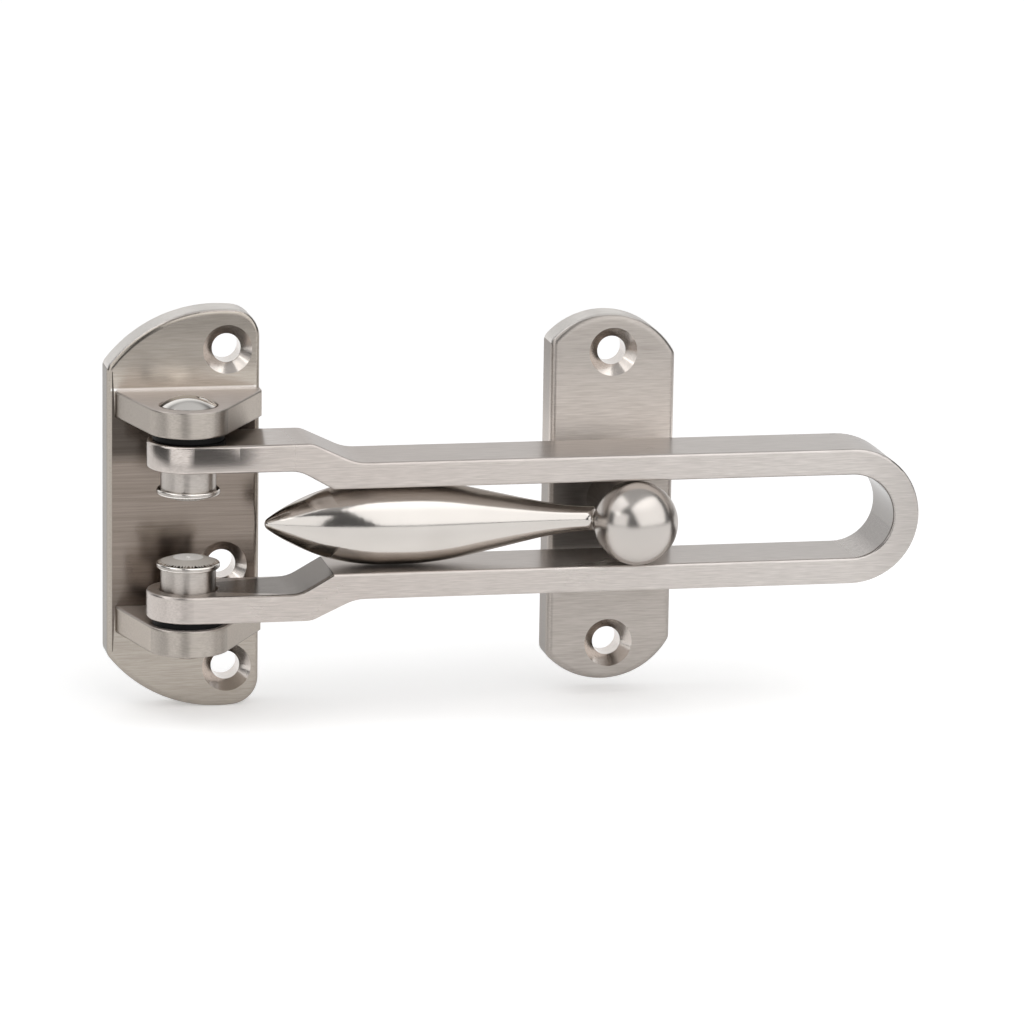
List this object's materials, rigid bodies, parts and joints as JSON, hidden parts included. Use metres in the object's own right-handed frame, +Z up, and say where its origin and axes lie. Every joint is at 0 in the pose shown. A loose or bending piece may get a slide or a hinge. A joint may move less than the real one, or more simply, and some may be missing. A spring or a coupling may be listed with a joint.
{
  "type": "swing bar door guard",
  "caption": "Swing bar door guard: a slotted U-shaped bar pivots on an eared hinge plate, and the keeper plate's ball and pointed arm pass through its slot.",
  "frame": {"origin": "on the back face of the hinge plate, behind the pivot axis and at half height", "axes": "+X along the closed bar from the pivot to the loop, +Y into the wall behind the plates, +Z up along the pivot axis"},
  "size_m": [0.1435, 0.0347, 0.0724],
  "materials": {
    "satin_nickel": "satin, brushed along the bar",
    "polished_nickel": "polished",
    "dark_nylon": "matte",
    "zinc_plated": "plain zinc plate"
  },
  "bodies": {
    "plates": {"hinge_plate": "satin_nickel", "upper_pivot_pin": "polished_nickel", "lower_pivot_pin": "polished_nickel", "upper_thrust_washer": "dark_nylon", "lower_thrust_washer": "dark_nylon", "keeper_plate": "satin_nickel", "ball_arm": "polished_nickel", "stem_screw": "zinc_plated"},
    "bar": {"swing_bar": "satin_nickel"}
  },
  "joints": [
    {"name": "bar_swing", "type": "hinge", "parent": "plates", "child": "bar", "pos_m": [0, -0.0202, 0], "axis": [0, 0, -1], "range_deg": [-4, 180]}
  ]
}
